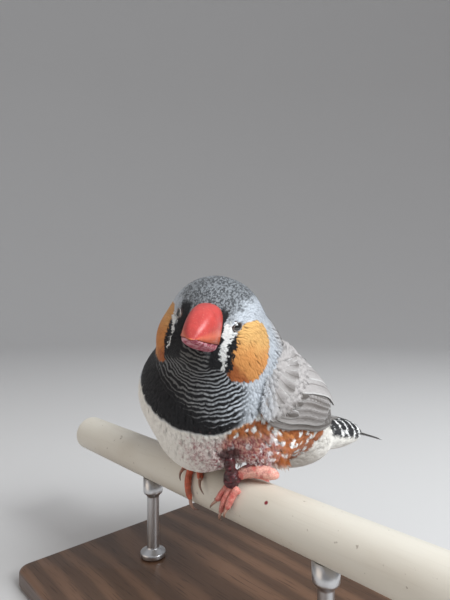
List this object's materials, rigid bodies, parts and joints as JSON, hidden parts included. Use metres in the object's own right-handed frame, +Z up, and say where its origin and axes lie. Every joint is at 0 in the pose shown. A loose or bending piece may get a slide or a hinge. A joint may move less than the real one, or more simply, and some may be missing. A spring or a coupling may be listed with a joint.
{
  "type": "zebra finch",
  "caption": "Still life-size male zebra finch with a red bill and orange cheeks, gripping a cut length of round perch on a flat stand.",
  "frame": {"origin": "middle of the stand base's underside", "axes": "+Z up, +X along the perch towards the bird's left, -Y the way its body faces, with the tail towards +Y"},
  "size_m": [0.118, 0.0956, 0.079],
  "materials": {
    "plumage": "soft overlapping feathers: grey crown and wings, barred throat, black breast band, cream belly, spotted chestnut flanks",
    "bill": "smooth coral-red horn",
    "eye": "wet dark red-brown",
    "leg": "scaled orange-red skin",
    "claw": "pale horn",
    "clot": "dried, slightly shiny dark red-brown",
    "perch": "smooth off-white, lightly marked",
    "stand": "dark satin wood",
    "rod": "satin turned steel"
  },
  "bodies": {
    "root": {"head": "plumage", "neck": "plumage", "trunk": "plumage", "tail": "plumage", "wing_left": "plumage", "wing_right": "plumage", "bill_upper": "bill", "bill_lower": "bill", "eye_left": "eye", "eye_right": "eye", "tarsus_left": "leg", "tarsus_right": "leg", "toe_1_left": "leg", "toe_2_left": "leg", "toe_3_left": "leg", "toe_4_left": "leg", "toe_1_right": "leg", "toe_2_right": "leg", "toe_3_right": "leg", "toe_4_right": "leg", "claw_1_left": "claw", "claw_2_left": "claw", "claw_3_left": "claw", "claw_4_left": "claw", "claw_1_right": "claw", "claw_2_right": "claw", "claw_3_right": "claw", "claw_4_right": "claw", "clot_left_foot": "clot", "perch": "perch", "stand_base": "stand", "stand_rod_1": "rod", "stand_rod_2": "rod"}
  },
  "joints": []
}
